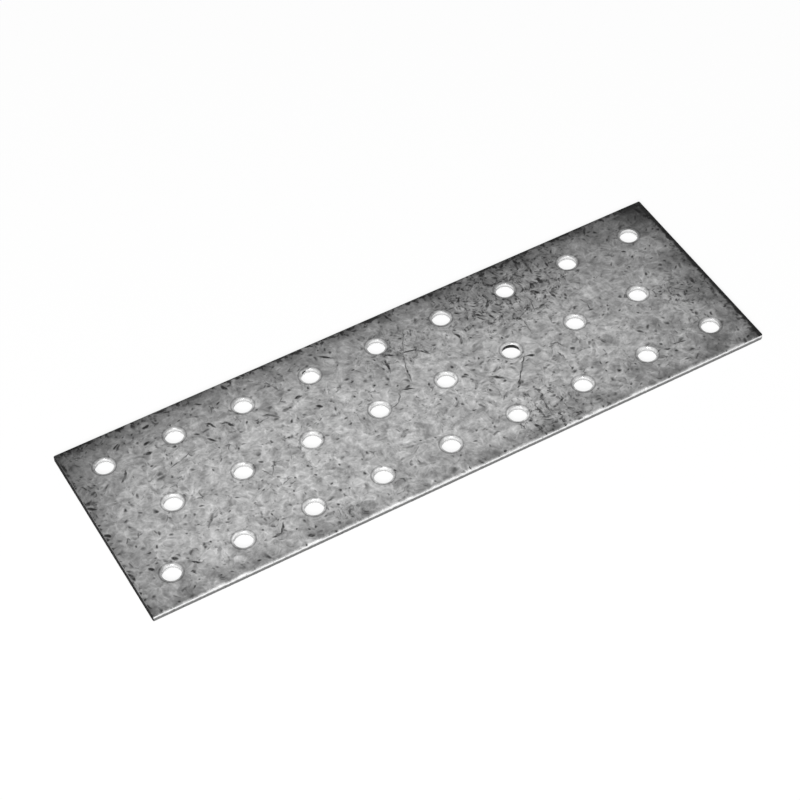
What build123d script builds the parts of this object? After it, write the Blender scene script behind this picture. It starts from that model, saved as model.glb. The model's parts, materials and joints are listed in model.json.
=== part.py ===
"""Mending plate: a flat strip of galvanised steel, punched for nails and screws.

One piece of coated sheet, cropped to length and punched through from above with three rows of
round holes. The middle row is set over by half a pitch, so no two rows split the timber along
the same grain.

Frame: X along the plate, Y across it, Z up. The origin is the centre of the lower face, which
lies on the floor at Z = 0, and the punch came down from above. All sizes are in millimetres.
"""

import os

from build123d import *

# The sheet
plate_length = 180.0
plate_width = 60.0
thickness = 2.0

# The cut outline: nearly sharp corners, an upper rim drawn down by the blade and a lower rim torn
# back where the metal let go
corner_radius = 0.4
rim_roll = 0.3
rim_tear_width = 0.08
rim_tear_depth = 0.35

# The hole pattern: every row has the same pitch, and the two outer rows run parallel to the sides
hole_diameter = 5.0
hole_pitch = 20.0
side_margin = 10.0
least_end_margin = 10.0

# The wall that the punch leaves, from the top down: a shallow dish and a steep shoulder where the
# sheet was drawn in, a straight land that is the true bore, and a torn zone that widens downwards
dish_width = 0.75
dish_depth = 0.20
shoulder_width = 0.15
shoulder_depth = 0.10
land_depth = 0.6
tear_width = 0.2

# Worked out from the sizes above
hole_radius = hole_diameter / 2
outer_row_offset = plate_width / 2 - side_margin
dish_bottom = thickness - dish_depth
land_top = dish_bottom - shoulder_depth
land_bottom = land_top - land_depth
pitches_along = (plate_length - 2 * least_end_margin) / hole_pitch
outer_row_holes = 1 + int(round(pitches_along, 6))
middle_row_holes = outer_row_holes - 1

# The metal that one stroke of the punch takes out: half of its section, turned about its axis
with BuildPart() as slug:
    with BuildSketch(Plane.XZ):
        with BuildLine():
            Polyline(
                (0, 0),
                (hole_radius + tear_width, 0),
                (hole_radius, land_bottom),
                (hole_radius, land_top),
                (hole_radius + shoulder_width, dish_bottom),
                (hole_radius + shoulder_width + dish_width, thickness),
                (0, thickness),
                close=True,
            )
        make_face()
    revolve(axis=Axis.Z)

with BuildPart() as plate:
    # The blank, cropped from the coated strip
    with BuildSketch():
        RectangleRounded(plate_length, plate_width, corner_radius)
    extrude(amount=thickness)

    # Its rims, before any hole is punched
    upper_rim = plate.faces().sort_by(Axis.Z)[-1].edges()
    fillet(upper_rim, radius=rim_roll)
    lower_face = plate.faces().sort_by(Axis.Z)[0]
    chamfer(lower_face.edges(), length=rim_tear_width, length2=rim_tear_depth, reference=lower_face)

    # The two outer rows
    with GridLocations(hole_pitch, 2 * outer_row_offset, outer_row_holes, 2):
        add(slug.part, mode=Mode.SUBTRACT)

    # The middle row, one hole shorter and so half a pitch out of step
    with GridLocations(hole_pitch, 2 * outer_row_offset, middle_row_holes, 1):
        add(slug.part, mode=Mode.SUBTRACT)

plate.part.label = "plate"

os.makedirs("parts", exist_ok=True)
export_step(plate.part, "parts/plate.step")

print(f"{2 * outer_row_holes + middle_row_holes} holes in rows of {outer_row_holes} and {middle_row_holes}")
print(f"plate {plate.part.volume / 1000:.3f} cm3, land from z = {land_bottom:.2f} to {land_top:.2f} mm")
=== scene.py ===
"""Dresses the galvanised mending plate: its punched sheet, its finishes and the studio around it.

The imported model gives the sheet's size and the place of every hole. The sheet is built again here
from those sizes, with the drawn lips, bright lands and torn zones that the shears and the punch
leave, and each zone gets the finish that the real one has.
"""

import json
import logging
import math
from collections.abc import Callable, Sequence
from dataclasses import dataclass, field
from enum import IntEnum
from functools import reduce

import bpy
from mathutils import Matrix, Vector


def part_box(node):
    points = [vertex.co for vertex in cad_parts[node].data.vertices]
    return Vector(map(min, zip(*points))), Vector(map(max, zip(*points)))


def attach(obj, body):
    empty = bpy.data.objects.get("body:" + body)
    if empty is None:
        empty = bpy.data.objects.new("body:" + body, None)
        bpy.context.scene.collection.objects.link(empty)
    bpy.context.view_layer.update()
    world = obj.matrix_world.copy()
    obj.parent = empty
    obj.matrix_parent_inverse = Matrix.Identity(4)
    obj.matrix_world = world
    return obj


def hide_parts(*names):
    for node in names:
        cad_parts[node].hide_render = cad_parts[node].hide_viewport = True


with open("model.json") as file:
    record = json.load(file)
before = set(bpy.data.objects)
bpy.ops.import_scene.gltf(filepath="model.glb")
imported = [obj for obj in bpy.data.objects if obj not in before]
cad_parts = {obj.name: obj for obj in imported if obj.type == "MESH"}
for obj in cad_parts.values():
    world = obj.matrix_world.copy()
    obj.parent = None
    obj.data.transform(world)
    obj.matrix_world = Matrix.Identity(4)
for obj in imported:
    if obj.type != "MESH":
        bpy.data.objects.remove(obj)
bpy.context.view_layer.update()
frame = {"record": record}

MM = 0.001
NODE = "plate"
WHITE = (1.0, 1.0, 1.0, 1.0)

Point = tuple[float, float]
Triple = tuple[float, float, float]


class Zone(IntEnum):
    """The bands of the sheet's surface, by how they were made."""

    FACE = 0
    LIP = 1
    LAND = 2
    TEAR = 3
    ROLL = 4
    SIDE = 5
    SIDE_TEAR = 6
    END = 7


@dataclass(frozen=True)
class Wire:
    """An output of a node. Reckoning with it, as with a number, adds the node that does so."""

    board: "Board"
    socket: bpy.types.NodeSocket

    def math(self, operation: str, *others: "Value") -> "Wire":
        """Adds a Math node, such as POWER, that starts from this number."""
        return self.board.out("ShaderNodeMath", dict(enumerate((self, *others))), operation=operation)

    def __add__(self, other: "Value") -> "Wire":
        """Adds a number."""
        return self.math("ADD", other)

    def __sub__(self, other: "Value") -> "Wire":
        """Takes a number away."""
        return self.math("SUBTRACT", other)

    def __rsub__(self, other: float) -> "Wire":
        """Takes this away from a number."""
        return self.board.out("ShaderNodeMath", {0: other, 1: self}, operation="SUBTRACT")

    def __mul__(self, other: "Value") -> "Wire":
        """Multiplies by a number."""
        return self.math("MULTIPLY", other)

    def __truediv__(self, other: "Value") -> "Wire":
        """Divides by a number."""
        return self.math("DIVIDE", other)

    def __pow__(self, power: float) -> "Wire":
        """Raises to a power."""
        return self.math("POWER", power)

    def __neg__(self) -> "Wire":
        """Changes the sign."""
        return self.math("MULTIPLY", -1.0)

    def __abs__(self) -> "Wire":
        """Drops the sign."""
        return self.math("ABSOLUTE")

    def __lt__(self, other: "Value") -> "Wire":
        """Gives 1 where this is the smaller, and 0 elsewhere."""
        return self.math("LESS_THAN", other)

    def __gt__(self, other: "Value") -> "Wire":
        """Gives 1 where this is the larger, and 0 elsewhere."""
        return self.math("GREATER_THAN", other)

    __radd__ = __add__
    __rmul__ = __mul__

    def line(self, slope: "Value", start: "Value") -> "Wire":
        """Multiplies by a slope and adds a start."""
        return self.math("MULTIPLY_ADD", slope, start)

    def least(self, *others: "Value") -> "Wire":
        """Gives the least of this and one or more others."""
        return reduce(lambda result, other: result.math("MINIMUM", other), others, self)

    def most(self, *others: "Value") -> "Wire":
        """Gives the greatest of this and one or more others."""
        return reduce(lambda result, other: result.math("MAXIMUM", other), others, self)

    def blend(self, first: "Value", second: "Value") -> "Wire":
        """Mixes two numbers: all first where this is 0, all second where it is 1."""
        return self.board.out("ShaderNodeMix", {0: self, 2: first, 3: second}, data_type="FLOAT")

    def ramp(self, low: float, high: float, start: float = 0.0, end: float = 1.0) -> "Wire":
        """Carries this number softly from one level to another.

        Args:
            low: where the change begins.
            high: where it is complete.
            start: the result up to low.
            end: the result from high on.

        Returns:
            The level.
        """
        inputs = {"Value": self, "From Min": low, "From Max": high, "To Min": start, "To Max": end}
        return self.board.out("ShaderNodeMapRange", inputs, interpolation_type="SMOOTHSTEP")

    def vector(self, operation: str, *others: "Wire | Triple") -> "Wire":
        """Adds a Vector Math node, such as ADD, whose result is a vector."""
        inputs = dict(enumerate((self, *others)))
        return self.board.out("ShaderNodeVectorMath", inputs, "Vector", operation=operation)

    def measure(self, operation: str, *others: "Wire | Triple") -> "Wire":
        """Adds a Vector Math node, such as LENGTH, whose result is a number."""
        inputs = dict(enumerate((self, *others)))
        return self.board.out("ShaderNodeVectorMath", inputs, "Value", operation=operation)

    def scaled(self, factor: "Value") -> "Wire":
        """Multiplies this vector by a number."""
        return self.board.out("ShaderNodeVectorMath", {0: self, "Scale": factor}, operation="SCALE")

    def stretched(self, x: float, y: float, z: float) -> "Wire":
        """Multiplies each of this vector's numbers by its own factor."""
        return self.vector("MULTIPLY", (x, y, z))

    def turned(self, angle: "Wire") -> "Wire":
        """Turns this vector about the upright axis."""
        inputs = {"Vector": self, "Angle": angle}
        return self.board.out("ShaderNodeVectorRotate", inputs, rotation_type="Z_AXIS")

    def parts(self) -> list["Wire"]:
        """Gives this vector's three numbers."""
        return self.board.outs("ShaderNodeSeparateXYZ", {0: self}, (0, 1, 2))

    def channels(self) -> list["Wire"]:
        """Gives this colour's three numbers."""
        return self.board.outs("ShaderNodeSeparateColor", {0: self}, (0, 1, 2))

    def noise(self, size: float, detail: float = 2.0, **inputs: float) -> "Wire":
        """Reads a noise texture at this place.

        Args:
            size: the width of its largest blotches, in the unit of the place.
            detail: how many finer layers it has.
            **inputs: further inputs, such as Roughness.

        Returns:
            Its value, 0 to 1.
        """
        values = {"Vector": self, "Scale": 1 / size, "Detail": detail, **inputs}
        return self.board.out("ShaderNodeTexNoise", values, "Fac")

    def cells(self, size: float, *outputs: str, feature: str = "F1", **inputs: float) -> list["Wire"]:
        """Reads a pattern of uneven cells at this place on a plane.

        Args:
            size: the width of a cell, in the unit of the place.
            *outputs: what is read, such as Color or Position.
            feature: how the cells are measured, such as DISTANCE_TO_EDGE.
            **inputs: further inputs, such as Smoothness.

        Returns:
            One wire for each output that is read.
        """
        values = {"Vector": self, "Scale": 1 / size, **inputs}
        settings = {"voronoi_dimensions": "2D", "feature": feature}
        return self.board.outs("ShaderNodeTexVoronoi", values, outputs, **settings)


Value = float | Wire


class Board:
    """A node tree being wired."""

    def __init__(self, tree: bpy.types.NodeTree) -> None:
        """Starts wiring a shader or geometry tree."""
        self.tree = tree

    @classmethod
    def fresh(cls, owner: bpy.types.Material | bpy.types.World) -> "Board":
        """Starts wiring a material or a world, which loses the nodes that it came with.

        Args:
            owner: the material or the world.

        Returns:
            The board of its tree.
        """
        owner.use_nodes = True
        owner.node_tree.nodes.clear()
        return cls(owner.node_tree)

    def add(self, kind: str, inputs: dict | None = None, **settings: object) -> bpy.types.Node:
        """Adds a node.

        Args:
            kind: the node's type, such as ShaderNodeMath.
            inputs: for each input's name or number, a value to set or a wire to plug in.
            **settings: the node's own properties, such as operation="ADD".

        Returns:
            The node.
        """
        node = self.tree.nodes.new(kind)
        for name, value in settings.items():
            setattr(node, name, value)
        for key, value in (inputs or {}).items():
            if isinstance(value, Wire):
                self.tree.links.new(value.socket, node.inputs[key])
            else:
                node.inputs[key].default_value = value
        return node

    def outs(self, kind: str, inputs: dict | None, keys: Sequence, **settings: object) -> list[Wire]:
        """Adds a node, as add does, and gives some of its outputs, by name or number."""
        node = self.add(kind, inputs, **settings)
        return [Wire(self, node.outputs[key]) for key in keys]

    def out(self, kind: str, inputs: dict | None = None, key: str | int = 0, **settings: object) -> Wire:
        """Adds a node, as add does, and gives one of its outputs, by name or number."""
        return self.outs(kind, inputs, (key,), **settings)[0]

    def xyz(self, x: Value = 0.0, y: Value = 0.0, z: Value = 0.0) -> Wire:
        """Makes a vector from three numbers."""
        return self.out("ShaderNodeCombineXYZ", {0: x, 1: y, 2: z})


@dataclass(frozen=True)
class SheetSizes:
    """The sheet's sizes in metres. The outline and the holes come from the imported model."""

    length: float
    width: float
    thickness: float
    hole_radius: float
    hole_pitch: float
    row_offset: float
    outer_row_holes: int
    corner_radius: float = 0.4 * MM
    rim_roll: float = 0.3 * MM
    rim_tear_width: float = 0.08 * MM
    rim_tear_depth: float = 0.35 * MM
    dish_width: float = 0.75 * MM
    dish_depth: float = 0.20 * MM
    shoulder_width: float = 0.15 * MM
    shoulder_depth: float = 0.10 * MM
    land_depth: float = 0.6 * MM
    tear_width: float = 0.2 * MM
    tear_grit: float = 0.05 * MM
    tear_line_wander: float = 0.12 * MM
    outline_step: float = 0.5 * MM
    hole_segments: int = 64

    @classmethod
    def from_frame(cls, record: dict) -> "SheetSizes":
        """Reads the outline from the CAD node and the pattern from the holes that the record names.

        Args:
            record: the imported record.

        Returns:
            The sizes.
        """
        low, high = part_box(NODE)
        holes = [mount for mount in record["mounts"] if mount["kind"] == "bore"]
        offset = max(mount["pos_m"][1] for mount in holes)
        back_row = sorted(mount["pos_m"][0] for mount in holes if mount["pos_m"][1] == offset)
        return cls(
            length=high.x - low.x,
            width=high.y - low.y,
            thickness=high.z - low.z,
            hole_radius=holes[0]["dims"]["r_mm"] * MM,
            hole_pitch=back_row[1] - back_row[0],
            row_offset=offset,
            outer_row_holes=len(back_row),
        )


class SheetTree(Board):
    """The geometry tree that crops, rolls and punches the sheet from named sizes."""

    DISH_STEPS = 6
    SHOULDER_STEPS = 4
    TEAR_STEPS = 4
    ROLL_STEPS = 6
    CUT_TEAR_STEPS = 3
    CORNER_STEPS = 4
    ROUNDING = 1.5
    WELD = 0.001 * MM
    GRIT_SIZE = 0.45 * MM
    SEED = 11.0

    def __init__(self, sizes: SheetSizes, finishes: dict[Zone, bpy.types.Material]) -> None:
        """Builds the tree.

        Args:
            sizes: the sheet's sizes, which become the tree's named inputs.
            finishes: the material of each zone.
        """
        super().__init__(bpy.data.node_groups.new("punched sheet", "GeometryNodeTree"))
        self.values: dict[str, float | int] = {}
        interface = self.tree.interface
        interface.new_socket("Sheet", in_out="OUTPUT", socket_type="NodeSocketGeometry")
        for name, value in vars(sizes).items():
            kind = "NodeSocketInt" if isinstance(value, int) else "NodeSocketFloat"
            socket = interface.new_socket(name, in_out="INPUT", socket_type=kind)
            self.values[socket.identifier] = value
        names = tuple(vars(sizes))
        self.sizes = dict(zip(names, self.outs("NodeGroupInput", None, names)))
        sheet = self._closed(self._join([self._holes(), self._rim()]))
        sheet = self.out("GeometryNodeRealizeInstances", {0: sheet})
        for zone, finish in finishes.items():
            chosen = zone == Zone.FACE or self._is_zone(zone)
            inputs = {"Geometry": sheet, "Selection": chosen, "Material": finish}
            sheet = self.out("GeometryNodeSetMaterial", inputs)
        self.add("NodeGroupOutput", {0: sheet})

    def fill_in(self, modifier: bpy.types.NodesModifier) -> None:
        """Gives a modifier this tree and its values, by each input's identifier.

        Args:
            modifier: the modifier, before its object is first evaluated.
        """
        modifier.node_group = self.tree
        for identifier, value in self.values.items():
            modifier[identifier] = value

    def _join(self, pieces: Sequence[Wire]) -> Wire:
        """Joins geometries into one.

        Args:
            pieces: the geometries.

        Returns:
            The joined geometry.
        """
        node = self.add("GeometryNodeJoinGeometry")
        for piece in reversed(pieces):
            self.tree.links.new(piece.socket, node.inputs[0])
        return Wire(self, node.outputs[0])

    def _welded(self, piece: Wire) -> Wire:
        """Merges the points that two bands share."""
        return self.out("GeometryNodeMergeByDistance", {"Geometry": piece, "Distance": self.WELD})

    def _zoned(self, piece: Wire, zone: Zone, chosen: Wire | bool = True) -> Wire:
        """Writes the zone's number on faces.

        Args:
            piece: the mesh.
            zone: what the faces are.
            chosen: the faces that get the number.

        Returns:
            The mesh with its numbers.
        """
        inputs = {"Geometry": piece, "Selection": chosen, "Name": "zone", "Value": int(zone)}
        settings = {"data_type": "INT", "domain": "FACE"}
        return self.out("GeometryNodeStoreNamedAttribute", inputs, **settings)

    def _equals(self, count: Wire, number: int) -> Wire:
        """Selects where a count is a given whole number."""
        settings = {"data_type": "INT", "operation": "EQUAL"}
        return self.out("FunctionNodeCompare", {2: count, 3: number}, **settings)

    def _is_zone(self, zone: Zone) -> Wire:
        """Selects the faces of one zone."""
        named = self.out("GeometryNodeInputNamedAttribute", {"Name": "zone"}, data_type="INT")
        return self._equals(named, int(zone))

    def _run(self, steps: int, place: Callable[[Wire], Wire]) -> Wire:
        """Draws a curve of short runs.

        Args:
            steps: how many runs it has.
            place: gives the position, from the share of the way along, 0 to 1.

        Returns:
            The curve.
        """
        line = self.out("GeometryNodeCurvePrimitiveLine")
        curve = self.out("GeometryNodeResampleCurve", {"Curve": line, "Count": steps + 1})
        share = self.out("GeometryNodeSplineParameter")
        return self.out("GeometryNodeSetPosition", {"Geometry": curve, "Position": place(share)})

    def _turned(self, steps: int, radius: Callable[[Wire], Wire], height: Callable[[Wire], Wire],
                zone: Zone) -> Wire:
        """Turns one band of a hole's wall about the upright axis.

        Args:
            steps: how many rings of faces it has.
            radius: gives the radius from the share of the way up.
            height: gives the height from the same share.
            zone: what the band is.

        Returns:
            The band's mesh.
        """
        axis = self._run(steps, lambda share: self.xyz(z=height(share)))
        ring = {"Resolution": self.sizes["hole_segments"], "Radius": 1.0}
        circle = self.out("GeometryNodeCurvePrimitiveCircle", ring)
        share = self.out("GeometryNodeSplineParameter")
        inputs = {"Curve": axis, "Profile Curve": circle, "Scale": radius(share)}
        return self._zoned(self.out("GeometryNodeCurveToMesh", inputs), zone)

    def _land_ends(self) -> tuple[Wire, Wire]:
        """Gives the heights of the land's lower and upper end."""
        top = self.sizes["thickness"] - self.sizes["dish_depth"] - self.sizes["shoulder_depth"]
        return top - self.sizes["land_depth"], top

    def _bore(self) -> Wire:
        """Builds the wall of one hole: torn zone, land, rounded shoulder and dish.

        Returns:
            The wall, facing its axis.
        """
        sizes = self.sizes
        bottom, top = self._land_ends()
        radius = sizes["hole_radius"]
        dish_start = radius + sizes["shoulder_width"]

        def torn_radius(share: Wire) -> Wire:
            """Widens towards the lower face."""
            return (1.0 - share).line(sizes["tear_width"], radius)

        def shoulder_radius(share: Wire) -> Wire:
            """Widens upwards, more and more."""
            return (share ** self.ROUNDING).line(sizes["shoulder_width"], radius)

        def dish_height(share: Wire) -> Wire:
            """Rises to the upper face, less steeply towards it."""
            return sizes["thickness"] - (1.0 - share) ** self.ROUNDING * sizes["dish_depth"]

        bands = [
            self._turned(self.TEAR_STEPS, torn_radius, lambda share: bottom * share, Zone.TEAR),
            self._turned(1, lambda share: radius, lambda share: share.blend(bottom, top), Zone.LAND),
            self._turned(self.SHOULDER_STEPS, shoulder_radius,
                         lambda share: share.line(sizes["shoulder_depth"], top), Zone.LIP),
            self._turned(self.DISH_STEPS, lambda share: share.line(sizes["dish_width"], dish_start),
                         dish_height, Zone.LIP),
        ]
        return self._welded(self.out("GeometryNodeFlipFaces", {"Mesh": self._join(bands)}))

    def _centres(self) -> Wire:
        """Lays out the hole centres: two full rows, and one between them set over by half a pitch.

        Returns:
            A mesh with a point at each centre.
        """
        pitch, count = self.sizes["hole_pitch"], self.sizes["outer_row_holes"]
        reach = pitch * (count - 1.0)
        across = self.sizes["row_offset"] * 2.0
        outer = {"Size X": reach, "Size Y": across, "Vertices X": count, "Vertices Y": 2}
        start = (reach - pitch) * -0.5
        middle = {"Count": count - 1.0, "Start Location": self.xyz(start), "Offset": self.xyz(pitch)}
        rows = [self.out("GeometryNodeMeshGrid", outer), self.out("GeometryNodeMeshLine", middle)]
        return self._join(rows)

    def _holes(self) -> Wire:
        """Puts a wall at every hole centre, and roughens each torn zone in its own way.

        Returns:
            The walls of all holes.
        """
        inputs = {"Points": self._centres(), "Instance": self._bore()}
        copies = self.out("GeometryNodeInstanceOnPoints", inputs)
        walls = self.out("GeometryNodeRealizeInstances", {0: copies})
        return self._torn(walls, self._land_ends()[0])

    def _outline(self) -> Wire:
        """Draws the outer rim with small steps along its straight sides.

        Returns:
            The closed curve.
        """
        sizes = self.sizes
        inputs = {"Width": sizes["length"], "Height": sizes["width"]}
        sheet = self.out("GeometryNodeCurvePrimitiveQuadrilateral", inputs)
        inputs = {"Curve": sheet, "Count": self.CORNER_STEPS, "Radius": sizes["corner_radius"]}
        rounded = self.out("GeometryNodeFilletCurve", inputs, mode="POLY")
        here = self.out("GeometryNodeInputPosition")
        inputs = {"Point Index": self.out("GeometryNodeInputIndex"), "Offset": 1}
        following = self.out("GeometryNodeOffsetPointInCurve", inputs, "Point Index")
        settings = {"data_type": "FLOAT_VECTOR", "domain": "POINT"}
        there = self.out("GeometryNodeFieldAtIndex", {"Index": following, "Value": here}, **settings)
        cuts = (here.measure("DISTANCE", there) / sizes["outline_step"]).math("FLOOR")
        stepped = self.out("GeometryNodeSubdivideCurve", {"Curve": rounded, "Cuts": cuts})
        return self.out("GeometryNodeSetCurveNormal", {"Curve": stepped}, mode="Z_UP")

    def _rim(self) -> Wire:
        """Sweeps the sheared edge along the outline: rolled top, straight cut and torn foot.

        In the swept profile X points out of the sheet and Y points down.

        Returns:
            The edge all round the sheet.
        """
        roll = self.sizes["rim_roll"]
        foot, inset = self.sizes["rim_tear_depth"], self.sizes["rim_tear_width"]
        shoulder = self.sizes["thickness"] - roll

        def rolled(share: Wire) -> Wire:
            """Follows a quarter circle from the upper face to the cut."""
            turn = share * (math.pi / 2)
            return self.xyz(roll * (turn.math("SINE") - 1.0), -(shoulder + roll * turn.math("COSINE")))

        def cut(share: Wire) -> Wire:
            """Goes straight down."""
            return self.xyz(0.0, -share.blend(shoulder, foot))

        def torn(share: Wire) -> Wire:
            """Leans in towards the lower face."""
            return self.xyz(share * -inset, -share.blend(foot, 0.0))

        bands = []
        for steps, place, zone in (
            (self.ROLL_STEPS, rolled, Zone.ROLL),
            (1, cut, Zone.SIDE),
            (self.CUT_TEAR_STEPS, torn, Zone.SIDE_TEAR),
        ):
            inputs = {"Curve": self._outline(), "Profile Curve": self._run(steps, place)}
            bands.append(self._zoned(self.out("GeometryNodeCurveToMesh", inputs), zone))
        return self._ended(self._torn(self._welded(self._join(bands)), foot))

    def _ended(self, rim: Wire) -> Wire:
        """Marks the cut faces of the two short ends, which were cropped and not slit.

        Args:
            rim: the edge all round the sheet.

        Returns:
            The edge with its marked ends.
        """
        x = self.out("GeometryNodeInputPosition").parts()[0]
        reach = self.sizes["length"].line(0.5, self.sizes["corner_radius"] * -0.5)
        cut = self._is_zone(Zone.SIDE) + self._is_zone(Zone.SIDE_TEAR)
        return self._zoned(rim, Zone.END, (abs(x) > reach) * cut)

    def _torn(self, walls: Wire, line: Wire) -> Wire:
        """Pits a wall below its tear line, and lets that line wander up and down.

        Args:
            walls: the wall's mesh, whose lower end is torn.
            line: the height of the border between smooth and torn metal.

        Returns:
            The mesh, pitted only into the metal.
        """
        sizes = self.sizes
        place = self.out("GeometryNodeInputPosition")
        height = place.parts()[2]
        inputs = {"Vector": place, "W": self.SEED, "Scale": 1 / self.GRIT_SIZE, "Detail": 1.0}
        wander = self.out("ShaderNodeTexNoise", inputs, "Fac", noise_dimensions="4D").ramp(0.3, 0.7)
        depth = wander * sizes["tear_grit"] * (height < line - self.WELD)
        inward = self.out("GeometryNodeInputNormal").stretched(-1.0, -1.0, 0.0).scaled(depth)
        on_line = height.math("COMPARE", line, self.WELD)
        rise = (wander - 0.5) * sizes["tear_line_wander"]
        shift = inward.vector("ADD", self.xyz(z=rise * on_line))
        return self.out("GeometryNodeSetPosition", {"Geometry": walls, "Offset": shift})

    def _closed(self, walls: Wire) -> Wire:
        """Closes the walls with the flat upper and lower faces, which stay flat shaded.

        Args:
            walls: the walls of the holes and the edge round the sheet.

        Returns:
            The closed sheet.
        """
        thickness = self.sizes["thickness"]
        walls = self.out("GeometryNodeSetShadeSmooth", {"Geometry": walls, "Shade Smooth": True})
        loose = self._equals(self.out("GeometryNodeInputMeshEdgeNeighbors"), 1)
        upper = self.out("GeometryNodeInputPosition").parts()[2] > thickness * 0.5
        faces = []
        for at_top in (True, False):
            chosen = (upper if at_top else 1.0 - upper) * loose
            rings = self.out("GeometryNodeMeshToCurve", {"Mesh": walls, "Selection": chosen})
            face = self.out("GeometryNodeFillCurve", {"Curve": rings}, mode="TRIANGLES")
            if at_top:
                lift = {"Geometry": face, "Offset": self.xyz(z=thickness)}
                face = self.out("GeometryNodeSetPosition", lift)
            else:
                face = self.out("GeometryNodeFlipFaces", {"Mesh": face})
            flat = {"Geometry": self._zoned(face, Zone.FACE), "Shade Smooth": False}
            faces.append(self.out("GeometryNodeSetShadeSmooth", flat))
        return self._welded(self._join([walls, *faces]))


@dataclass(frozen=True)
class Marks:
    """Dark marks of one kind in the zinc, given as runs of points in millimetres."""

    FAR = 4.0
    EDGE = (1.8, 0.1)

    width: float
    depth: float
    runs: tuple[tuple[Point, ...], ...]

    def shade(self, spot: Wire, uneven: Wire) -> Wire:
        """Draws the marks as long ellipses, one for each stretch of a run.

        How far a point is away is counted in an ellipse's half sizes, and squared.

        Args:
            spot: the point on the sheet in millimetres, with 1 as its third number.
            uneven: a noise that makes the marks darker in places.

        Returns:
            Their darkness, 0 where there is none.
        """
        away: Value = self.FAR
        for run in self.runs:
            for start, end in zip(run, run[1:]):
                along = Vector(end) - Vector(start)
                middle = (Vector(start) + Vector(end)) / 2
                lengthwise = along.normalized() / (along.length / 2 + self.width * 0.7)
                crosswise = along.orthogonal().normalized() / (self.width / 2)
                squares = []
                for axis in (lengthwise, crosswise):
                    share = spot.measure("DOT_PRODUCT", (*axis, -axis.dot(middle)))
                    squares.append(share * share)
                away = (squares[0] + squares[1]).least(away)
        depth = uneven.ramp(0.40, 0.58, self.depth * 0.4, self.depth)
        return away.ramp(*self.EDGE) * depth


@dataclass(frozen=True)
class Patch:
    """A soft oval on the sheet, in millimetres: an amount in its middle, and nothing outside it."""

    centre: Point
    reach: Point
    amount: float

    def shade(self, x: Wire, y: Wire) -> Wire:
        """Draws the patch.

        Args:
            x: the place along the sheet.
            y: the place across it.

        Returns:
            The patch's amount at that place.
        """
        inputs = {"Vector": x.board.xyz(x, y), "Location": (*self.centre, 0.0), "Scale": (*self.reach, 1.0)}
        oval = x.board.out("ShaderNodeMapping", inputs, vector_type="TEXTURE")
        return oval.measure("LENGTH").ramp(1.0, 0.1, 0.0, self.amount)


@dataclass(frozen=True)
class Stain:
    """A dark round stain that covers the walls of holes near it, in millimetres."""

    centre: Point
    radius: float
    top: float
    softness: float = 0.08

    def clear(self, place: Wire, ragged: Wire) -> Wire:
        """Tells where the metal is free of the stain.

        Args:
            place: the point on the wall.
            ragged: a noise that frays its border.

        Returns:
            0 in the stain and 1 outside it or above its top.
        """
        x, y, z = place.parts()
        away = place.board.xyz(x, y).measure("DISTANCE", (*self.centre, 0.0)) + (ragged - 0.5)
        above = z.ramp(self.top - self.softness, self.top + self.softness)
        return away.ramp(self.radius * 0.8, self.radius).most(above)


class Finish:
    """What every finish shares: a named material that is wired from a place on the surface."""

    LEAST_GREY = 0.02
    GAMMA = 2.2
    name = "finish"

    def build(self) -> bpy.types.Material:
        """Makes the material.

        Returns:
            The material, whose nodes read Object coordinates in millimetres.
        """
        material = bpy.data.materials.new(self.name)
        board = Board.fresh(material)
        place = board.out("ShaderNodeTexCoord", key="Object").scaled(1 / MM)
        board.add("ShaderNodeOutputMaterial", {"Surface": self.dress(place)})
        return material

    def dress(self, place: Wire) -> Wire:
        """Wires the finish.

        Args:
            place: the point on the surface, in millimetres.

        Returns:
            The shader.
        """
        raise NotImplementedError

    @staticmethod
    def metal(grey: Wire, roughness: Value, height: Wire, metallic: Value,
              normal: Wire | None = None, specular: float = 0.2) -> Wire:
        """Adds the metal shader.

        Args:
            grey: the colour as a picture's grey, 0 to 1.
            roughness: the surface's roughness.
            height: its relief, in millimetres.
            metallic: how much of it is bare metal, 0 to 1.
            normal: the direction it faces, where that isn't the mesh's own.
            specular: the strength of the gloss on what isn't bare metal.

        Returns:
            The shader.
        """
        light = grey.most(Finish.LEAST_GREY) ** Finish.GAMMA
        relief: dict[str, Value] = {"Strength": 1.0, "Distance": MM, "Height": height}
        if normal:
            relief["Normal"] = normal
        inputs = {
            "Base Color": light,
            "Metallic": metallic,
            "Roughness": roughness,
            "Specular IOR Level": specular,
            "Normal": grey.board.out("ShaderNodeBump", relief),
        }
        return grey.board.out("ShaderNodeBsdfPrincipled", inputs)


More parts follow.
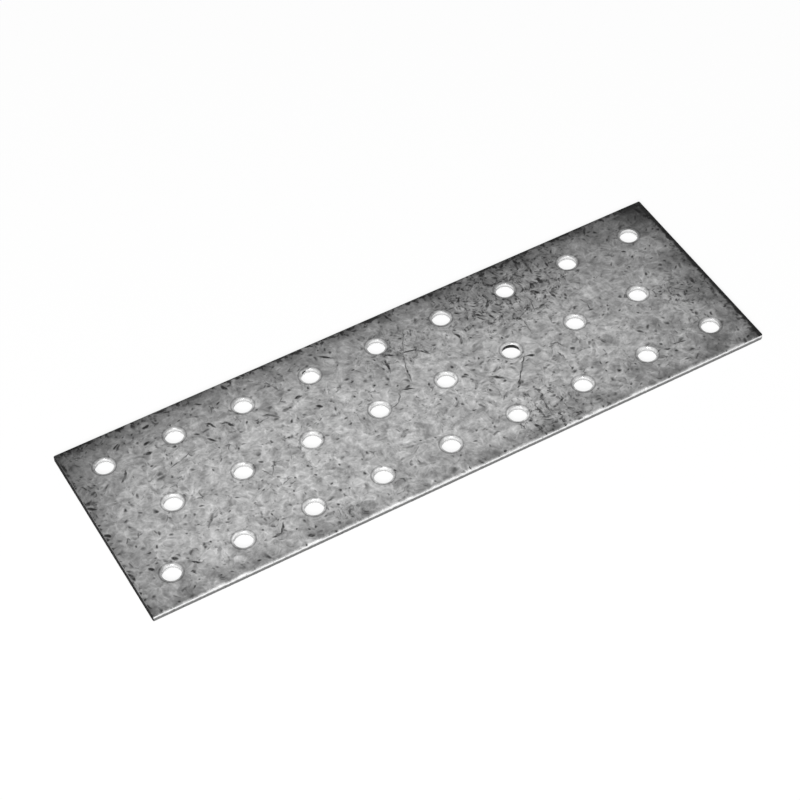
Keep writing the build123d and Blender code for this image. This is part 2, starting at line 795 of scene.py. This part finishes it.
@dataclass(frozen=True)
class SpangledZinc(Finish):
    """Hot-dip zinc: a patchwork of frosted crystals, darker towards the rims, with dark flecks."""

    sheet: SheetSizes
    marks: tuple[Marks, ...] = ()
    name: str = "spangled_zinc"
    grey: float = 0.638
    crystal_size: float = 2.6
    metallic: float = 0.2
    roughness: float = 0.44
    underside_shift: float = 83.0
    lip_limit: float = 0.5
    darkest_rim: float = 0.85
    busy_patches: tuple[Patch, ...] = (
        Patch((39.0, 20.0), (32.0, 19.0), 1.0),
        Patch((27.0, -24.0), (14.0, 15.0), 0.8),
        Patch((81.0, -5.0), (13.0, 11.0), 0.45),
        Patch((-85.0, 28.0), (15.0, 7.0), 0.4),
        Patch((-89.0, 13.0), (7.0, 11.0), 0.6),
        Patch((4.0, 17.0), (16.0, 14.0), 0.4),
        Patch((-33.0, -27.0), (9.0, 7.0), 0.5),
    )
    dull_patch: Patch = Patch((38.0, 21.0), (34.0, 17.0), 0.05)

    def dress(self, place: Wire) -> Wire:
        """Wires the finish, as Finish.dress says."""
        x, y, z = place.parts()
        upper = z > self.sheet.thickness / MM / 2
        flat = place.board.xyz(x, y + upper.blend(self.underside_shift, 0.0))
        broad = self._bent(flat, 5.0, 3.0)
        bent = self._bent(broad, 1.3, 0.7)
        away = self._away(x, y)
        crystal = bent.cells(self.crystal_size, "Color", feature="SMOOTH_F1", Smoothness=0.2)[0]
        sharp = bent.cells(self.crystal_size, "Color")[0]
        seam = bent.cells(self.crystal_size, "Distance", feature="DISTANCE_TO_EDGE")[0]
        tint, _, odd = crystal.channels()
        along = flat.turned(sharp.channels()[1] * math.tau)
        feather = along.stretched(0.5, 1.4, 1.0).noise(1.0, 2.0, Roughness=0.55)
        mottle = flat.noise(9.0, 4.0, Roughness=0.6)
        frost = bent.noise(1.9, 1.0)
        grain = flat.noise(0.7, 1.0)
        tone: Value = self.grey
        for layer, strength in ((tint, 0.10), (feather, 0.24), (mottle, 0.22), (frost, 0.37), (grain, 0.12)):
            tone = tone + (layer - 0.5) * strength
        tone = tone + self._wisps(seam, mottle)
        tone = tone * (1.0 - self._rim_shade(x, y, away, mottle) * upper.blend(0.4, 1.0))
        busy = sum(patch.shade(x, y) for patch in self.busy_patches) * upper
        crowd = self._crowding(away) * upper + busy
        dark = self._arcs(seam, flat).most(self._clouds(bent, busy))
        dark = dark.most(self._spots(self._bent(broad, 1.3, 0.5), crowd))
        dark = dark.most(self._pepper(bent))
        dark = dark.most(self._blotched(bent, away) * upper)
        dark = dark.most(self._marked(flat, frost) * upper)
        lip = self._lip_depth(z, away)
        dark = dark * lip.ramp(0.03, 0.12, 1.0, 0.3)
        # painted highlights and shade on the rims and the lips of the holes
        tone = tone * self._painted_rim_light(lip, away) * (1.0 - dark)
        polish = lip.ramp(0.03, 0.12)
        roughness = self.roughness + odd * 0.14 + dark * 0.2 + polish * -0.16
        metallic = polish.line(0.45, self.metallic)
        return self.metal(tone, roughness, grain * 0.015, metallic, self._tilted(crystal))

    def _away(self, x: Wire, y: Wire) -> dict[str, Wire]:
        """Measures how far the point is from each side of the outline, in millimetres."""
        end, side = self.sheet.length / MM / 2, self.sheet.width / MM / 2
        return {"back": side - y, "front": side + y, "left": end + x, "right": end - x}

    @staticmethod
    def _falls(away: Wire, reach: float, amount: Value = 1.0) -> Wire:
        """Dies away from an amount at a side, by a factor e for each reach in millimetres."""
        return (away * (-1 / reach)).math("EXPONENT") * amount

    @staticmethod
    def _inside(away: dict[str, Wire]) -> Wire:
        """Gives one all over the sheet, and nothing on its rounded outer rims."""
        nearest = away["left"].least(away["right"], away["front"], away["back"])
        return nearest.ramp(0.35, 1.0)

    def _lip_depth(self, z: Wire, away: dict[str, Wire]) -> Wire:
        """Measures how far the lip of a hole is drawn down here, in millimetres; nothing elsewhere."""
        sunk = self.sheet.thickness / MM - z
        return sunk * (sunk < self.lip_limit) * self._inside(away)

    def _painted_rim_light(self, lip: Wire, away: dict[str, Wire]) -> Wire:
        """Paints highlights on the long rims and the lips of the holes and a shade on each dish, and
        blackens the rims of the cropped ends.

        Args:
            lip: how far the lip of a hole is drawn down here.
            away: how far each side is.

        Returns:
            The factor for the tone.
        """
        normal = lip.board.out("ShaderNodeNewGeometry", key="True Normal")
        tip_x, tip_y, _ = normal.parts()
        outside = 1.0 - self._inside(away)
        # painted highlight on the front roll, where it faces the front
        bright = tip_y.ramp(-0.5, -0.9, 0.0, 0.16) * outside
        # painted highlight: a lighter band just inside the front edge
        front_edge_highlight = away["front"].ramp(0.70, 0.3, 0.0, 0.15)
        # painted light: the back roll made lighter where it faces the back
        back = tip_y.ramp(0.2, 0.8, 0.0, 1.6) * outside
        # painted shade: a darker ring on the gentle part of each hole's dish
        drawn = lip.ramp(0.002, 0.02, 0.0, -0.17)
        # lighter steep part of each lip: partly the punch's polish, partly a painted highlight
        burnished = lip.ramp(0.05, 0.19, 0.0, 0.40)
        level = 1.0 + bright + front_edge_highlight + back + drawn + burnished
        cropped = abs(tip_x).ramp(0.1, 0.35) * outside
        return level * cropped.line(-0.8, 1.0)

    @staticmethod
    def _bent(flat: Wire, length: float, reach: float) -> Wire:
        """Bends the plane, so that what is drawn on it later has wandering borders.

        Args:
            flat: the point on the sheet.
            length: the length of the waves, in millimetres.
            reach: how wide their shifts range, in millimetres.

        Returns:
            The bent point.
        """
        inputs = {"Vector": flat, "Scale": 1 / length, "Detail": 1.0}
        wave = flat.board.out("ShaderNodeTexNoise", inputs, "Color", noise_dimensions="2D")
        shifts = [part.line(reach, -reach / 2) for part in wave.channels()[:2]]
        return flat.vector("ADD", flat.board.xyz(*shifts))

    @staticmethod
    def _tilted(color: Wire) -> Wire:
        """Tips each crystal a little its own way, which makes the spangle glint as it is turned.

        Args:
            color: the crystal's random colour.

        Returns:
            The direction that the crystal faces.
        """
        normal = color.board.out("ShaderNodeNewGeometry", key="Normal")
        tips = [part.line(0.12, -0.06) for part in color.channels()[:2]]
        return normal.vector("ADD", color.board.xyz(*tips)).vector("NORMALIZE")

    @staticmethod
    def _wisps(seam: Wire, mottle: Wire) -> Wire:
        """Frosts the seams between crystals a little paler, in places."""
        return seam.ramp(0.16, 0.0) * mottle.ramp(0.4, 0.6, 0.01, 0.05)

    @staticmethod
    def _arcs(seam: Wire, flat: Wire) -> Wire:
        """Leaves short soft dark arcs along some of the seams."""
        where = flat.noise(3.6, 1.0).ramp(0.60, 0.74)
        return (seam / where.line(0.16, 0.005)).ramp(1.0, 0.0) * where * 0.42

    @staticmethod
    def _clouds(bent: Wire, busy: Wire) -> Wire:
        """Clouds the busy regions with soft dark blots that run into each other.

        Args:
            bent: the bent point on the sheet.
            busy: how much dark marks crowd here.

        Returns:
            The clouds' darkness.
        """
        narrow = bent.stretched(1.0, 0.7, 1.0)
        fine = bent.noise(0.65, 1.0).line(0.5, -0.25)
        ragged = narrow.noise(1.45, 2.0) + busy * 0.07 + fine
        return ragged.ramp(0.52, 0.84, 0.0, 0.70) * busy.ramp(0.0, 0.5)

    @staticmethod
    def _pepper(bent: Wire) -> Wire:
        """Dusts some regions with small faint specks."""
        where = bent.noise(14.0, 2.0).ramp(0.42, 0.62, 0.1, 0.30)
        return bent.noise(1.1, 1.0).ramp(0.58, 0.76) * where

    def _crowding(self, away: dict[str, Wire]) -> Wire:
        """Tells where the dark spots crowd: at the right end, along the back, and a little at the left."""
        crowds = (("right", 14.0, 0.9), ("back", 6.0, 0.8), ("left", 4.0, 0.3))
        return sum(self._falls(away[side], reach, amount) for side, reach, amount in crowds)

    @staticmethod
    def _spots(bent: Wire, crowd: Wire) -> Wire:
        """Scatters dark spots, each turned its own way: small dark ones, slivers and broad faint ones.

        Args:
            bent: the bent point on the sheet.
            crowd: how many of the spots there are here.

        Returns:
            The spots' darkness.
        """
        spots: Value = 0.0
        for cell, reach, stretch, share, darkness in (
            (2.5, 0.36, 1.2, 0.34, 0.76),
            (4.4, 0.46, 1.5, 0.30, 0.60),
            (6.0, 1.20, 1.5, 0.45, 0.18),
        ):
            centre, color = bent.cells(cell, "Position", "Color")
            chance, turn, depth = color.channels()
            along = bent.vector("SUBTRACT", centre).turned(turn * math.tau)
            body = along.stretched(1 / stretch, 1.0, 0.0).measure("LENGTH").ramp(reach * 1.5, 0.0)
            kept = chance < crowd.line(share, share)
            strength = depth.line(0.75, 0.25) * darkness
            spots = (body * kept * strength).most(spots)
        return spots

    def _blotched(self, bent: Wire, away: dict[str, Wire]) -> Wire:
        """Eats ragged dark blotches into the borders, where the shears broke the coat.

        Args:
            bent: the bent point on the sheet.
            away: how far each side is.

        Returns:
            The blotches' darkness.
        """
        near = self._falls(away["back"], 1.5)
        near = near.most(self._falls(away["left"], 0.9), self._falls(away["right"], 1.8))
        on_flat = (away["back"] + 0.2).least(away["left"]).ramp(0.32, 0.5)
        ragged = bent.noise(1.5, 2.0) + near * 0.24
        return ragged.ramp(0.60, 0.76, 0.0, 0.66) * near.ramp(0.04, 0.4) * on_flat

    def _rim_shade(self, x: Wire, y: Wire, away: dict[str, Wire], mottle: Wire) -> Wire:
        """Darkens the zinc towards the outline, most at the right end and back, and in one patch.

        Args:
            x: the place along the sheet.
            y: the place across it.
            away: how far each side is.
            mottle: a broad noise that makes the narrow shades uneven.

        Returns:
            How much darker it is.
        """
        uneven = mottle.ramp(0.36, 0.64, 1.45, 0.55)
        shades = []
        for side, amount, reach in (
            ("back", uneven * 0.22, 2.4),
            ("back", 0.30, 13.0),
            ("front", uneven * 0.22, 6.5),
            ("left", 0.26, 10.0),
            ("right", uneven * 0.26, 8.0),
            # painted shade: the light falling off towards the right end
            ("right", 0.15, 50.0),
        ):
            shades.append(self._falls(away[side], reach, amount))
        fray = x.board.xyz(x, y).noise(2.0, 3.0).line(1.6, -0.8)
        shades.append((away["right"] + fray).ramp(1.6, 0.1, 0.0, 0.84))
        shades.append(self.dull_patch.shade(x, y))
        return sum(shades).least(self.darkest_rim)

    def _marked(self, flat: Wire, uneven: Wire) -> Wire:
        """Draws the listed marks.

        Args:
            flat: the point on the sheet.
            uneven: a noise that makes the marks darker in places.

        Returns:
            Their darkness.
        """
        x, y, _ = self._bent(flat, 1.6, 0.6).parts()
        spot = flat.board.xyz(x, y, 1.0)
        shade: Value = 0.0
        for kind in self.marks:
            shade = kind.shade(spot, uneven).most(shade)
        return shade


@dataclass(frozen=True)
class PunchedWall(Finish):
    """The wall of a hole: its land, burnished by the punch, or its torn and duller foot."""

    torn: bool
    stains: tuple[Stain, ...]
    name: str = "punched_wall"
    grey: float = 0.74
    foot_grey: float = 0.58
    metallic: float = 0.2

    def dress(self, place: Wire) -> Wire:
        """Wires the finish, as Finish.dress says."""
        z = place.parts()[2]
        drag = place.stretched(5.0, 5.0, 0.8).noise(1.0, 2.0)
        grit = place.noise(0.22, 2.0) if self.torn else drag
        level: Value = self.grey
        if self.torn:
            level = z.ramp(0.7, 1.05, self.foot_grey, self.grey) + z.ramp(0.6, 0.2, 0.0, 0.27)
        tone = level * grit.ramp(0.3, 0.7, 0.93, 1.04)
        for stain in self.stains:
            tone = tone * stain.clear(place, drag).line(0.9, 0.1)
        relief = grit * (0.04 if self.torn else 0.005)
        return self.metal(tone, 0.5 if self.torn else 0.32, relief, self.metallic)


@dataclass(frozen=True)
class SlitSide(Finish):
    """The long sides: burnished bright by the slitting knives above, torn and grey below."""

    torn: bool
    name: str = "slit_side"
    grey: float = 0.77
    foot_grey: float = 0.36
    burnished_from: float = 1.2
    metallic: float = 0.2

    def dress(self, place: Wire) -> Wire:
        """Wires the finish, as Finish.dress says."""
        z = place.parts()[2]
        ragged = place.stretched(1.0, 1.0, 0.0).noise(1.2, 3.0)
        height = z + (ragged - 0.5) * 0.6
        start = self.burnished_from
        level = height.ramp(start - 0.35, start + 0.2, self.foot_grey, self.grey)
        nicks = place.stretched(1.0, 1.0, 0.4).noise(0.5, 2.0).ramp(0.62, 0.72)
        scratches = place.stretched(0.8, 0.8, 8.0).noise(1.0, 2.0).ramp(0.3, 0.7)
        tone = level * scratches.line(0.12, 0.92) * nicks.line(-0.4, 1.0)
        relief = scratches * (0.03 if self.torn else 0.01)
        return self.metal(tone, 0.6 if self.torn else 0.4, relief, self.metallic)


@dataclass(frozen=True)
class CroppedEnd(Finish):
    """The short ends, cropped after the coating; their cut faces are a near-black grey."""

    name: str = "cropped_end"
    grey: float = 0.16

    def dress(self, place: Wire) -> Wire:
        """Wires the finish, as Finish.dress says."""
        grit = place.noise(0.5, 3.0)
        tone = grit.ramp(0.3, 0.7, self.grey * 0.6, self.grey * 1.5)
        return self.metal(tone, 0.75, grit * 0.05, 0.0, specular=0.0)


def hand_chosen_marks() -> tuple[Marks, ...]:
    """Lists the cracks, strokes and blots that stand out in the zinc.

    Returns:
        Hairlines, then cracks, broader strokes and round blots.
    """
    hairlines = (
        ((-45.6, -2.5), (-44.4, -5.4), (-42.5, -2.7)), ((9.1, 21.3), (5.0, 14.3), (2.8, 8.5)),
        ((-7.0, -1.3), (-4.6, -0.6), (-2.0, 3.0)), ((28.0, -19.0), (27.5, -25.0)),
        ((-65.5, 10.5), (-62.0, 11.4), (-59.5, 12.4)), ((78.5, -2.5), (81.5, -5.6), (84.0, -5.5)),
        ((43.8, 14.8), (44.1, 12.4), (40.2, 10.0), (37.8, 8.8)), ((43.8, 12.9), (42.9, 9.0)),
        ((38.3, 7.1), (38.0, 2.3)), ((38.3, -7.3), (40.2, -3.7), (41.9, -3.9), (42.6, -5.9)),
        ((55.4, 6.4), (56.3, 4.2), (55.9, 1.3)),
    )
    cracks = (
        ((33.5, -4.4), (31.8, -3.7), (27.6, -8.8), (25.4, -11.4)),
        ((5.0, 14.3), (8.4, 13.4), (10.8, 10.5)), ((3.1, 9.6), (2.0, 4.6)), ((-2.0, 3.0), (0.9, 1.8)),
        ((62.6, -20.9), (63.6, -20.6)), ((65.0, -21.0), (66.0, -21.4)), ((68.0, -20.5), (70.8, -21.1)),
    )
    strokes = (
        ((-76.0, 15.5), (-76.6, 14.3), (-78.0, 13.0)), ((-51.0, 19.0), (-50.3, 18.5), (-49.8, 17.2)),
        ((-47.3, 17.0), (-46.2, 16.6), (-45.5, 15.0)), ((-52.8, 14.1), (-51.6, 12.6)),
        ((-36.8, 13.7), (-35.3, 13.2), (-34.0, 11.5)), ((-63.3, -9.0), (-65.5, -11.8)),
        ((-74.0, -19.8), (-72.5, -21.2)), ((-53.0, -23.2), (-50.8, -23.3), (-49.3, -21.0)),
        ((-14.5, 24.5), (-12.0, 22.3)), ((7.3, 29.0), (8.0, 26.2)), ((-0.5, 14.0), (-1.2, 10.2)),
        ((0.7, 16.0), (2.3, 14.6)), ((20.2, 13.5), (20.9, 10.5), (20.0, 9.2)),
        ((20.8, -5.5), (23.0, -7.3)), ((26.3, -10.9), (24.8, -12.2)), ((40.0, 28.5), (41.0, 25.7)),
        ((25.4, 24.4), (25.5, 22.8)), ((27.8, 23.8), (27.0, 22.6)), ((33.0, 17.2), (34.2, 19.2)),
        ((28.1, 16.6), (30.2, 14.4)), ((31.7, 14.6), (32.1, 12.8)), ((43.2, 22.5), (44.3, 23.2)),
        ((45.1, 23.6), (46.3, 21.8)), ((49.9, 25.4), (49.7, 21.8)), ((54.9, 23.2), (54.7, 21.6)),
        ((50.0, 12.5), (50.3, 10.3)), ((69.8, 26.8), (71.0, 28.7)),
    )
    blots = (
        ((37.3, 28.1), (37.8, 28.3)), ((43.5, 27.9), (44.0, 28.2)), ((47.8, 27.8), (47.9, 27.2)),
        ((49.8, 18.6), (49.8, 18.1)), ((46.2, 14.9), (46.9, 14.6)), ((38.0, 16.9), (38.6, 16.6)),
        ((37.5, 9.3), (37.9, 8.8)), ((-67.5, 21.1), (-67.2, 21.2)), ((-65.4, 26.3), (-64.8, 26.4)),
        ((-68.9, 18.0), (-68.1, 17.8)), ((-31.3, 12.6), (-30.9, 12.6)),
        ((-45.2, -27.5), (-44.5, -27.8)), ((-41.6, 28.3), (-41.4, 27.6)),
        ((22.0, -26.0), (22.6, -27.4)), ((85.2, -2.8), (85.2, -4.2)), ((87.2, 27.4), (87.6, 26.2)),
        ((46.2, 15.4), (46.9, 14.6)), ((-26.5, 14.8), (-26.0, 14.8)), ((-23.1, 9.2), (-22.9, 9.0)),
        ((-77.6, -16.4), (-77.4, -16.7)), ((33.5, -4.4), (33.7, -4.5)), ((-88.6, 10.6), (-87.2, 10.1)),
        ((-88.9, 8.7), (-88.3, 8.2)), ((-89.0, -1.2), (-88.5, -1.6)), ((-89.0, -16.3), (-88.9, -17.0)),
        ((-84.0, -16.6), (-83.8, -16.9)),
    )
    return (
        Marks(width=0.36, depth=0.45, runs=hairlines),
        Marks(width=0.48, depth=0.68, runs=cracks),
        Marks(width=0.68, depth=0.70, runs=strokes),
        Marks(width=1.0, depth=0.75, runs=blots),
    )


def placed(name: str, data: bpy.types.ID) -> bpy.types.Object:
    """Makes an object and puts it in the scene.

    Args:
        name: the object's name.
        data: its mesh, lamp or camera.

    Returns:
        The object, at the origin.
    """
    item = bpy.data.objects.new(name, data)
    bpy.context.scene.collection.objects.link(item)
    return item


@dataclass
class PunchedSheet:
    """The plate itself: one cropped and punched piece of coated sheet."""

    sizes: SheetSizes
    name: str = "punched_sheet"
    body: str = "root"
    marks: tuple[Marks, ...] = field(default_factory=hand_chosen_marks)
    land_stains: tuple[Stain, ...] = (Stain((-20.7, 22.2), 0.8, 2.0), Stain((29.7, 1.6), 3.6, 1.40))
    tear_stains: tuple[Stain, ...] = (Stain((29.7, 1.6), 3.6, 2.0),)

    def finishes(self) -> dict[Zone, bpy.types.Material]:
        """Makes the material of each zone.

        Returns:
            The materials by zone. Zones that the zinc coat still covers share one.
        """
        zinc = SpangledZinc(self.sizes, self.marks).build()
        return {
            Zone.FACE: zinc,
            Zone.LIP: zinc,
            Zone.ROLL: zinc,
            Zone.LAND: PunchedWall(torn=False, stains=self.land_stains, name="punched_land").build(),
            Zone.TEAR: PunchedWall(torn=True, stains=self.tear_stains, name="punched_tear").build(),
            Zone.SIDE: SlitSide(torn=False, name="slit_land").build(),
            Zone.SIDE_TEAR: SlitSide(torn=True, name="slit_tear").build(),
            Zone.END: CroppedEnd().build(),
        }

    def build(self) -> bpy.types.Object:
        """Builds the sheet as a plain mesh that stands for the CAD node.

        Returns:
            The sheet's object, at the origin.
        """
        carrier = placed("sheet_carrier", bpy.data.meshes.new("sheet_carrier"))
        modifier = carrier.modifiers.new("punched sheet", "NODES")
        SheetTree(self.sizes, self.finishes()).fill_in(modifier)
        graph = bpy.context.evaluated_depsgraph_get()
        mesh = bpy.data.meshes.new_from_object(carrier.evaluated_get(graph), depsgraph=graph)
        bpy.data.objects.remove(carrier)
        mesh.name = self.name
        mesh.attributes.remove(mesh.attributes["zone"])
        mesh.materials.pop(index=0)
        sheet = placed(self.name, mesh)
        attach(sheet, self.body)
        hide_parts(NODE)
        return sheet


@dataclass(frozen=True)
class Camera:
    """The camera that took the photograph, worked out from the places of the holes."""

    place: Triple = (-0.1902, -0.3718, 0.4725)
    target: Triple = (-0.0039, 0.0, 0.0020)
    roll_degrees: float = -3.6
    lens: float = 108.0
    sensor: float = 36.0

    def build(self) -> bpy.types.Object:
        """Sets the camera up and makes it the scene's own.

        Returns:
            The camera's object.
        """
        data = bpy.data.cameras.new("camera")
        data.lens = self.lens
        data.sensor_width = self.sensor
        data.clip_start = 0.01
        camera = placed("camera", data)
        sight = Vector(self.target) - Vector(self.place)
        level = sight.to_track_quat("-Z", "Y").to_matrix()
        roll = Matrix.Rotation(math.radians(self.roll_degrees), 3, "Z")
        camera.matrix_world = Matrix.Translation(self.place) @ (level @ roll).to_4x4()
        bpy.context.scene.camera = camera
        return camera


@dataclass(frozen=True)
class Studio:
    """A white table, a soft key light from the front left, and a white surround, in metres."""

    floor_half: float = 3.0
    floor_gap: float = 0.02 * MM
    floor_grey: float = 0.8
    floor_glow: float = 0.9
    surround: float = 0.22
    key_from: Triple = (-0.66, -1.00, 0.88)
    key_size: float = 0.5
    key_power: float = 39.0

    def build(self) -> bpy.types.Object:
        """Builds the floor, the surround and the lamp.

        Returns:
            The floor's object.
        """
        self._surround()
        self._key()
        return self._floor()

    @staticmethod
    def _seen_directly(board: Board) -> Wire:
        """Tells the rays that look at a surface itself, or see it in metal or glass.

        Args:
            board: the board of the surface's own tree.

        Returns:
            1 for those rays, and 0 for all others.
        """
        rays = ("Is Camera Ray", "Is Glossy Ray", "Is Transmission Ray")
        camera, glossy, through = board.outs("ShaderNodeLightPath", None, rays)
        return camera.most(glossy, through)

    def _surround(self) -> None:
        """Makes the world plain white to the eye, and softer as a light."""
        world = bpy.data.worlds.new("surround")
        board = Board.fresh(world)
        strength = self._seen_directly(board).blend(self.surround, 1.0)
        glow = board.out("ShaderNodeBackground", {"Color": WHITE, "Strength": strength})
        board.add("ShaderNodeOutputWorld", {"Surface": glow})
        bpy.context.scene.world = world

    def _key(self) -> None:
        """Hangs the soft key light."""
        data = bpy.data.lights.new("key", "AREA")
        data.shape = "DISK"
        data.size = self.key_size
        data.energy = self.key_power
        turned = (-Vector(self.key_from)).to_track_quat("-Z", "Y").to_matrix().to_4x4()
        placed("key", data).matrix_world = Matrix.Translation(self.key_from) @ turned

    def _floor(self) -> bpy.types.Object:
        """Lays the pale table just under the plate. It looks white and keeps a faint shadow.

        Returns:
            The table's object.
        """
        reach = self.floor_half
        corners = [(-reach, -reach, 0.0), (reach, -reach, 0.0), (reach, reach, 0.0), (-reach, reach, 0.0)]
        mesh = bpy.data.meshes.new("table")
        mesh.from_pydata(corners, [], [(0, 1, 2, 3)])
        mesh.materials.append(self._paint())
        floor = placed("table", mesh)
        floor.location.z = -self.floor_gap
        return floor

    def _paint(self) -> bpy.types.Material:
        """Makes the table's white: it glows to the eye and in metal, and is plain paint to other rays.

        Returns:
            The material.
        """
        material = bpy.data.materials.new("table")
        board = Board.fresh(material)
        paint = board.out("ShaderNodeBsdfDiffuse", {"Color": (self.floor_grey,) * 3 + (1.0,)})
        glow = board.out("ShaderNodeEmission", {"Color": WHITE, "Strength": 1.0})
        share = self._seen_directly(board) * self.floor_glow
        mixed = board.out("ShaderNodeMixShader", {0: share, 1: paint, 2: glow})
        board.add("ShaderNodeOutputMaterial", {"Surface": mixed})
        return material


def main() -> None:
    """Builds the camera, the studio and the plate, and reports each of them."""
    logging.basicConfig(level=logging.INFO, format="%(message)s")
    log = logging.getLogger("mending plate")
    bpy.context.scene.view_settings.view_transform = "Standard"
    camera = Camera().build()
    log.info("camera: %.0f mm lens", camera.data.lens)
    floor = Studio().build()
    log.info("floor: %s", floor.name)
    sizes = SheetSizes.from_frame(frame["record"])
    sheet = PunchedSheet(sizes).build()
    log.info("%s: %d faces, %d finishes", sheet.name, len(sheet.data.polygons), len(sheet.data.materials))


if __name__ == "__main__":
    main()
